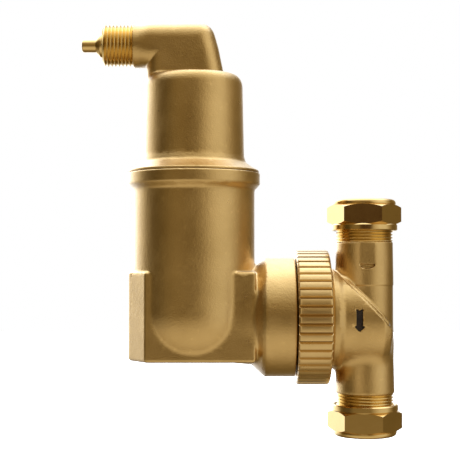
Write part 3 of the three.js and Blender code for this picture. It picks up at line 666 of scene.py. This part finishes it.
def make_nut(end, sign):
    """A 32 mm hex nut with chamfered corners, a collar towards the tee and a rounded rim."""
    start, hex_start, hex_end, stop, flats = 43.0, 46.0, 56.0, 58.6, 32.0
    collar, rim, rim_round = 16.5, 15.8, 1.9
    corner = flats / math.sqrt(3) - 0.02

    def at(radius, offset):
        return radius, UNION_Z + sign * offset

    angle = np.radians(60 * np.arange(6) + NUT_TURN)
    hexagon = bmesh.new()
    levels = [
        [hexagon.verts.new(p) for p in about_z(corner + 0 * angle, angle, at(0, level)[1], PIPE_X) * MM]
        for level in (hex_start, hex_end)
    ]
    hexagon.faces.new(levels[0])
    hexagon.faces.new(levels[1])
    for j in range(6):
        n = (j + 1) % 6
        hexagon.faces.new((levels[0][j], levels[0][n], levels[1][n], levels[1][j]))
    bmesh.ops.recalc_face_normals(hexagon, faces=hexagon.faces)
    mesh = bpy.data.meshes.new("hexagon")
    hexagon.to_mesh(mesh)
    hexagon.free()
    nut = add_object(f"compression_nut_{end}_turned", mesh)

    cones = lathe("cones", [
        at(0, hex_start), at(flats / 2 - 0.2, hex_start), at(corner + 0.2, hex_start + 1.6),
        at(corner + 0.2, hex_end - 1.6), at(flats / 2 - 0.2, hex_end), at(0, hex_end),
    ], PIPE_X, 128)
    boolean(nut, cones, "INTERSECT")
    rounding = [(rim - rim_round * (1 - math.cos(t)), stop - rim_round * (1 - math.sin(t)))
                for t in np.linspace(0, math.pi / 2, 7)]
    core = lathe("core", [
        at(0, start), at(collar - 0.5, start), at(collar, start + 0.5), at(collar, hex_start - 0.3),
        at(collar - 0.5, hex_start + 0.3), at(rim - 0.3, hex_start + 1), at(rim - 0.3, hex_end - 0.2),
        at(rim, hex_end + 0.3), *[at(radius, offset) for radius, offset in rounding], at(0, stop),
    ], PIPE_X, 128)
    boolean(nut, core, "UNION")
    bore = lathe("bore", [
        at(0, start - 1), at(15.3, start - 1), at(15.3, start), at(14.7, start + 0.6), at(14.7, 54.4),
        at(11.5, 57.0), at(11.5, stop - 0.5), at(12.2, stop + 0.2), at(12.2, stop + 1), at(0, stop + 1),
    ], PIPE_X, 128)
    boolean(nut, bore, "DIFFERENCE")
    bevel = nut.modifiers.new("edges", "BEVEL")
    bevel.width = 0.16 * MM
    bevel.segments = 2
    bevel.limit_method = "ANGLE"
    bevel.angle_limit = math.radians(28)
    bevel.harden_normals = False
    apply_modifiers(nut)
    nut.data.shade_smooth()
    nut.data.set_sharp_from_angle(angle=math.radians(24))
    place(nut, f"{end}_nut", "machined_brass", polished_brass, f"compression_nut_{end}")


def make_olive(end, sign):
    outline = [(11.2, 52.6), (12.0, 52.6), (12.5, 53.1), (12.75, 53.8), (12.6, 54.7), (12.1, 55.7),
               (11.7, 56.2), (11.2, 56.2)]
    section = [(radius, UNION_Z + sign * offset) for radius, offset in outline]
    piece = turned_ring(f"olive_{end}_turned", section, lambda r, a, s: about_z(r, a, s, PIPE_X), 72)
    place(piece, f"{end}_olive", "machined_brass", polished_brass, f"olive_{end}")


def make_outlet_nozzle():
    face = ARM_END - 0.3
    outline = [
        (1.4, -55.7), (1.7, -56.0), (2.7, -56.0), (3.0, -55.8), (3.3, -55.2), (3.3, -49.4), (3.45, -48.9),
        (5.5, face - 1.7), (5.9, face - 1.1), (5.9, face - 0.2), (5.7, face), (3.8, face), (3.8, -41.6),
        (3.0, -41.6), (3.0, -39.8), (3.8, -39.8), (3.8, -36.0), (1.4, -36.0),
    ]
    piece = turned_ring("outlet_nozzle_turned", outline, lambda r, a, s: about_x(r, a, s, ARM_Z), 72)
    place(piece, "separator", "machined_brass", polished_brass, "outlet_nozzle")


# ---- Materials ----
def new_material(name):
    material = bpy.data.materials.new(name)
    material.use_nodes = True
    nodes = material.node_tree.nodes
    shader = nodes["Principled BSDF"]
    return material, nodes, material.node_tree.links, shader


def ramp(nodes, low, high, at=(0.35, 0.65)):
    node = nodes.new("ShaderNodeValToRGB")
    for element, position, colour in zip(node.color_ramp.elements, at, (low, high)):
        element.position = position
        element.color = (*colour, 1) if len(colour) == 3 else colour
    return node


def noise(nodes, links, coordinate, scale, detail=3.0, roughness=0.55):
    node = nodes.new("ShaderNodeTexNoise")
    node.inputs["Scale"].default_value = scale
    node.inputs["Detail"].default_value = detail
    node.inputs["Roughness"].default_value = roughness
    links.new(coordinate, node.inputs["Vector"])
    return node.outputs["Fac"]


def grey(value):
    return (value, value, value)


def bump(nodes, links, height, distance, normal=None):
    node = nodes.new("ShaderNodeBump")
    node.inputs["Distance"].default_value = distance * MM
    links.new(height, node.inputs["Height"])
    if normal:
        links.new(normal, node.inputs["Normal"])
    return node.outputs["Normal"]


def metal(name, dark, light, rough, grain, uneven, patch=45.0, gold=None, coat=0.0):
    """Brass with colour patches and uneven roughness. Grain and uneven are (scale, height in mm)."""
    material, nodes, links, shader = new_material(name)
    shader.inputs["Metallic"].default_value = 1.0
    shader.inputs["Coat Weight"].default_value = coat
    shader.inputs["Coat Roughness"].default_value = 0.3
    coordinate = nodes.new("ShaderNodeTexCoord").outputs["Object"]
    patches = noise(nodes, links, coordinate, patch, 4.0)
    colour = ramp(nodes, dark, light, (0.3, 0.7))
    links.new(patches, colour.inputs["Fac"])
    tone = colour.outputs["Color"]
    if gold:
        spots = ramp(nodes, grey(0.0), grey(0.45), (0.60, 0.75))
        links.new(noise(nodes, links, coordinate, patch * 6, 4.0, 0.6), spots.inputs["Fac"])
        mix = nodes.new("ShaderNodeMix")
        mix.data_type = "RGBA"
        links.new(spots.outputs["Color"], mix.inputs["Factor"])
        links.new(tone, mix.inputs[6])
        mix.inputs[7].default_value = (*gold, 1)
        tone = mix.outputs[2]
    links.new(tone, shader.inputs["Base Color"])

    gloss = ramp(nodes, grey(rough[0]), grey(rough[1]), (0.3, 0.7))
    links.new(noise(nodes, links, coordinate, patch * 2.5, 5.0, 0.65), gloss.inputs["Fac"])
    links.new(gloss.outputs["Color"], shader.inputs["Roughness"])

    normal = bump(nodes, links, noise(nodes, links, coordinate, uneven[0], 2.0), uneven[1])
    normal = bump(nodes, links, noise(nodes, links, coordinate, grain[0], 3.0, 0.6), grain[1], normal)
    links.new(normal, shader.inputs["Normal"])
    return material


def plain(name, dark, light, rough, grain, relief, metallic=0.0):
    """A patterned material without patches of gloss. The relief is in mm."""
    material, nodes, links, shader = new_material(name)
    shader.inputs["Metallic"].default_value = metallic
    coordinate = nodes.new("ShaderNodeTexCoord").outputs["Object"]
    colour = ramp(nodes, dark, light)
    links.new(noise(nodes, links, coordinate, grain / 8), colour.inputs["Fac"])
    links.new(colour.outputs["Color"], shader.inputs["Base Color"])
    gloss = ramp(nodes, grey(rough[0]), grey(rough[1]))
    height = noise(nodes, links, coordinate, grain)
    links.new(height, gloss.inputs["Fac"])
    links.new(gloss.outputs["Color"], shader.inputs["Roughness"])
    links.new(bump(nodes, links, height, relief), shader.inputs["Normal"])
    return material


GOLD = (0.80, 0.56, 0.22)
cast_brass = metal("cast_brass", (0.55, 0.36, 0.125), (0.66, 0.445, 0.17), (0.27, 0.37),
                   (1500, 0.13), (520, 0.07), gold=GOLD, coat=0.7)
satin_ring = metal("satin_brass", (0.58, 0.395, 0.155), (0.67, 0.465, 0.195), (0.26, 0.34),
                   (1500, 0.05), (520, 0.03), gold=GOLD, coat=0.7)
machined_brass = metal("machined_brass", (0.70, 0.50, 0.19), (0.78, 0.57, 0.24), (0.15, 0.22),
                       (3000, 0.004), (500, 0.01))
polished_brass = metal("polished_brass", (0.66, 0.46, 0.18), (0.74, 0.52, 0.22), (0.12, 0.18),
                       (1800, 0.004), (400, 0.012))
# A near-black, rough material with little sheen for the plate in the arrow's recess.
near_black_arrow_fill = plain("near_black_arrow_fill", (0.010, 0.006, 0.003), (0.020, 0.012, 0.006), (0.7, 0.85), 2000, 0.01)
arrow_fill_shader = near_black_arrow_fill.node_tree.nodes["Principled BSDF"]
arrow_fill_shader.inputs["Specular IOR Level"].default_value = 0.15
copper_wire = plain("copper_wire", (0.55, 0.24, 0.13), (0.65, 0.30, 0.17), (0.3, 0.4), 1500, 0.01, 1.0)
stainless = plain("stainless_steel", (0.52, 0.52, 0.53), (0.6, 0.6, 0.61), (0.25, 0.35), 2500, 0.005, 1.0)
seal_rubber = plain("seal_rubber", (0.012, 0.012, 0.013), (0.02, 0.02, 0.021), (0.6, 0.75), 2500, 0.01)
black_plastic = plain("black_plastic", (0.02, 0.02, 0.021), (0.03, 0.03, 0.031), (0.45, 0.6), 1800, 0.01)
pale_plastic = plain("pale_plastic", (0.72, 0.69, 0.61), (0.8, 0.77, 0.7), (0.4, 0.55), 1500, 0.01)

CARRIED = {
    "copper_wire": copper_wire,
    "stainless_steel": stainless,
    "seal_rubber": seal_rubber,
    "black_plastic": black_plastic,
    "pale_plastic": pale_plastic,
    "machined_brass": machined_brass,
    "cast_brass": cast_brass,
}


def place(piece, body, slot, material, *nodes):
    """Gives a piece its material and its body, and hides the CAD nodes that it stands for."""
    piece.data.materials.clear()
    piece.data.materials.append(material)
    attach(piece, body)
    if nodes:
        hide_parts(*nodes)


def dress_carried_nodes():
    """The inner pieces keep their CAD shape and get a patterned material."""
    slots = {row["node"]: row["material_slot"] for row in frame["record"]["subparts"]}
    for name, slot in slots.items():
        obj = bpy.data.objects[name]
        if obj.hide_render:
            continue
        for material_slot in obj.material_slots:
            material_slot.material = CARRIED[slot]
        if not obj.material_slots:
            obj.data.materials.append(CARRIED[slot])


# ---- Studio ----
def make_tee_light():
    """A soft panel in front of the pipe, which lights only the tee and the union ring."""
    light = bpy.data.lights.new("tee_panel", "AREA")
    light.shape = "RECTANGLE"
    light.size, light.size_y = 0.22, 0.45
    light.energy = 0.16
    light.color = (1.0, 0.93, 0.80)
    left, front, height = 0.22, 0.42, 0.10
    obj = bpy.data.objects.new("tee_panel", light)
    obj.location = (PIPE_X * MM - left, -front, height)
    aim = Vector((PIPE_X * MM, 0, UNION_Z * MM))
    obj.rotation_euler = (aim - obj.location).to_track_quat("-Z", "Y").to_euler()
    bpy.context.scene.collection.objects.link(obj)
    lit = bpy.data.collections.new("lit_by_tee_panel")
    for name in ("pipe_tee_forging", "union_ring_knurled"):
        lit.objects.link(bpy.data.objects[name])
    obj.light_linking.receiver_collection = lit


def make_floor():
    """A wide pale floor well below the fitting. It is left out of the reflections in the metal."""
    size, drop = 12.0, 0.30
    work = bmesh.new()
    bmesh.ops.create_grid(work, x_segments=8, y_segments=8, size=size / 2)
    bmesh.ops.translate(work, verts=work.verts, vec=(0, 0, cad_bounds[0].z - drop))
    mesh = bpy.data.meshes.new("floor")
    work.to_mesh(mesh)
    work.free()
    obj = add_object("floor", mesh)
    obj.visible_glossy = False
    material, _, _, shader = new_material("pale_floor")
    shader.inputs["Base Color"].default_value = (0.95, 0.95, 0.95, 1)
    shader.inputs["Roughness"].default_value = 0.9
    shader.inputs["Emission Color"].default_value = (1, 1, 1, 1)
    shader.inputs["Emission Strength"].default_value = 0.9
    mesh.materials.append(material)


def math_node(nodes, links, operation, first, second=None):
    node = nodes.new("ShaderNodeMath")
    node.operation = operation
    for socket, value in zip(node.inputs, (first, second)):
        if value is None:
            continue
        if isinstance(value, (int, float)):
            socket.default_value = value
        else:
            links.new(value, socket)
    return node.outputs[0]


BRIGHTEST = 4.0          # the light level that the ramps' full value stands for


def studio_tint(level):
    """Bright panels are near white, and the dim parts of the room are brown."""
    share, extra = min(level, 1), max(min(level - 1, 2), 0)
    green = 0.66 + 0.31 * share + 0.07 * extra
    blue = 0.14 + 0.74 * share + 0.22 * extra
    value = level / BRIGHTEST
    return value, value * green, value * blue, 1


def level_ramp(nodes, links, source, stops):
    """Light levels along a value from 0 to 1."""
    node = nodes.new("ShaderNodeValToRGB")
    elements = node.color_ramp.elements
    while len(elements) < len(stops):
        elements.new(0.5)
    for element, (position, level) in zip(elements, stops):
        element.position = position
        element.color = studio_tint(level)
    links.new(source, node.inputs["Fac"])
    return node.outputs["Color"]


def blend(nodes, links, value, start, end, below, above):
    """One colour below a value and another above it, with a soft change between."""
    share = map_range(nodes, links, value, start, end, 0, 1)
    share.node.interpolation_type = "SMOOTHSTEP"
    mix = nodes.new("ShaderNodeMix")
    mix.data_type = "RGBA"
    links.new(share, mix.inputs["Factor"])
    links.new(below, mix.inputs[6])
    links.new(above, mix.inputs[7])
    return mix.outputs[2]


def map_range(nodes, links, value, start, end, low, high):
    span = nodes.new("ShaderNodeMapRange")
    for socket, number in (("From Min", start), ("From Max", end), ("To Min", low), ("To Max", high)):
        span.inputs[socket].default_value = number
    links.new(value, span.inputs["Value"])
    return span.outputs["Result"]


def scaled(nodes, links, colour, factor):
    node = nodes.new("ShaderNodeVectorMath")
    node.operation = "SCALE"
    links.new(colour, node.inputs[0])
    links.new(factor, node.inputs["Scale"])
    return node.outputs[0]


# Light levels round the horizon, by the bearing from the front (0) to the right (90), in degrees.
HORIZON = [
    (-180, 1.6), (-150, 3.2), (-132, 2.2), (-112, 1.25), (-98, 0.25), (-84, 0.10),
    (-62, 0.10), (-44, 0.28), (-8, 0.32), (14, 0.32), (32, 0.75), (48, 1.0),
    (74, 1.0), (93, 0.5), (108, 0.22), (124, 0.22), (150, 0.3), (180, 1.6),
]
# Light levels under the floor line and overhead, by Y, from the front (-1) to the back (1).
BELOW = [(-1.0, 0.8), (-0.3, 0.8), (0.0, 0.45), (0.35, 0.2), (1.0, 0.2)]
ABOVE = [(-1.0, 0.9), (-0.5, 1.1), (-0.1, 1.9), (0.2, 2.7), (1.0, 2.7)]
# An oval dark wall straight in front. Its width is in degrees, and its rise and height are along Z.
DARK_WALL = {
    "rise": 0.09,
    "half_width": 24,
    "half_height": 0.13,
    "edge": (0.55, 1.4),
    "colour": (0.01925, 0.01085, 0.00525, 1),
}
FLOOR_EDGE, CEILING_EDGE = (-0.65, -0.05), (0.45, 0.9)     # where the horizon fades out, along Z


def make_world():
    """White to the camera. The metal sees pale panels at the right, overhead and behind the left side,
    and a dark wall in front."""
    world = bpy.data.worlds.new("studio")
    bpy.context.scene.world = world
    world.use_nodes = True
    nodes, links = world.node_tree.nodes, world.node_tree.links
    nodes.clear()
    coordinate = nodes.new("ShaderNodeTexCoord")
    axes = nodes.new("ShaderNodeSeparateXYZ")
    links.new(coordinate.outputs["Generated"], axes.inputs[0])
    x, y, z = axes.outputs
    front = math_node(nodes, links, "MULTIPLY", y, -1.0)
    bearing = math_node(nodes, links, "ARCTAN2", x, front)
    turn = math_node(nodes, links, "MULTIPLY_ADD", bearing, 1 / (2 * math.pi))
    turn.node.inputs[2].default_value = 0.5
    depth = math_node(nodes, links, "MULTIPLY_ADD", y, 0.5)
    depth.node.inputs[2].default_value = 0.5
    horizon = level_ramp(nodes, links, turn, [(0.5 + angle / 360, level) for angle, level in HORIZON])
    below = level_ramp(nodes, links, depth, [(0.5 + along / 2, level) for along, level in BELOW])
    above = level_ramp(nodes, links, depth, [(0.5 + along / 2, level) for along, level in ABOVE])
    lift = map_range(nodes, links, z, 0.0, 0.2, 0.82, 1.08)
    horizon = scaled(nodes, links, horizon, lift)
    wall = nodes.new("ShaderNodeRGB")
    wall.outputs[0].default_value = DARK_WALL["colour"]
    across = math_node(nodes, links, "SUBTRACT", turn, 0.5)
    across = math_node(nodes, links, "MULTIPLY", across, 360 / DARK_WALL["half_width"])
    rise = math_node(nodes, links, "SUBTRACT", z, DARK_WALL["rise"])
    rise = math_node(nodes, links, "MULTIPLY", rise, 1 / DARK_WALL["half_height"])
    across = math_node(nodes, links, "MULTIPLY", across, across)
    rise = math_node(nodes, links, "MULTIPLY", rise, rise)
    away = math_node(nodes, links, "ADD", across, rise)
    horizon = blend(nodes, links, away, *DARK_WALL["edge"], wall.outputs[0], horizon)
    colour = blend(nodes, links, z, *FLOOR_EDGE, below, horizon)
    colour = blend(nodes, links, z, *CEILING_EDGE, colour, above)
    room = nodes.new("ShaderNodeBackground")
    links.new(colour, room.inputs["Color"])
    room.inputs["Strength"].default_value = BRIGHTEST
    paper = nodes.new("ShaderNodeBackground")
    paper.inputs["Color"].default_value = (1, 1, 1, 1)
    path = nodes.new("ShaderNodeLightPath")
    mix = nodes.new("ShaderNodeMixShader")
    links.new(path.outputs["Is Camera Ray"], mix.inputs[0])
    links.new(room.outputs[0], mix.inputs[1])
    links.new(paper.outputs[0], mix.inputs[2])
    output = nodes.new("ShaderNodeOutputWorld")
    links.new(mix.outputs[0], output.inputs["Surface"])


def make_camera():
    """Nearly level, from a little over half a metre, as a product photograph is taken."""
    distance, across, height, aim = 0.560, 0.01825, 0.0462, 0.06445
    camera = bpy.data.cameras.new("camera")
    camera.sensor_width = 36.0
    camera.lens = 36.0 * distance / 0.230
    camera.clip_start, camera.clip_end = 0.01, 50
    obj = bpy.data.objects.new("camera", camera)
    obj.location = (across, -distance, height)
    obj.rotation_euler = (math.pi / 2 + math.atan((aim - height) / distance), 0, 0)
    bpy.context.scene.collection.objects.link(obj)
    bpy.context.scene.camera = obj


bpy.context.scene.view_settings.view_transform = "Standard"
make_camera()
make_world()
make_floor()

make_lower_body()
make_upper_housing()
make_outlet_nozzle()
make_union_ring()
make_pipe_tee()
for end, sign in (("top", 1), ("bottom", -1)):
    make_nut(end, sign)
    make_olive(end, sign)
dress_carried_nodes()
make_tee_light()

bpy.context.view_layer.update()
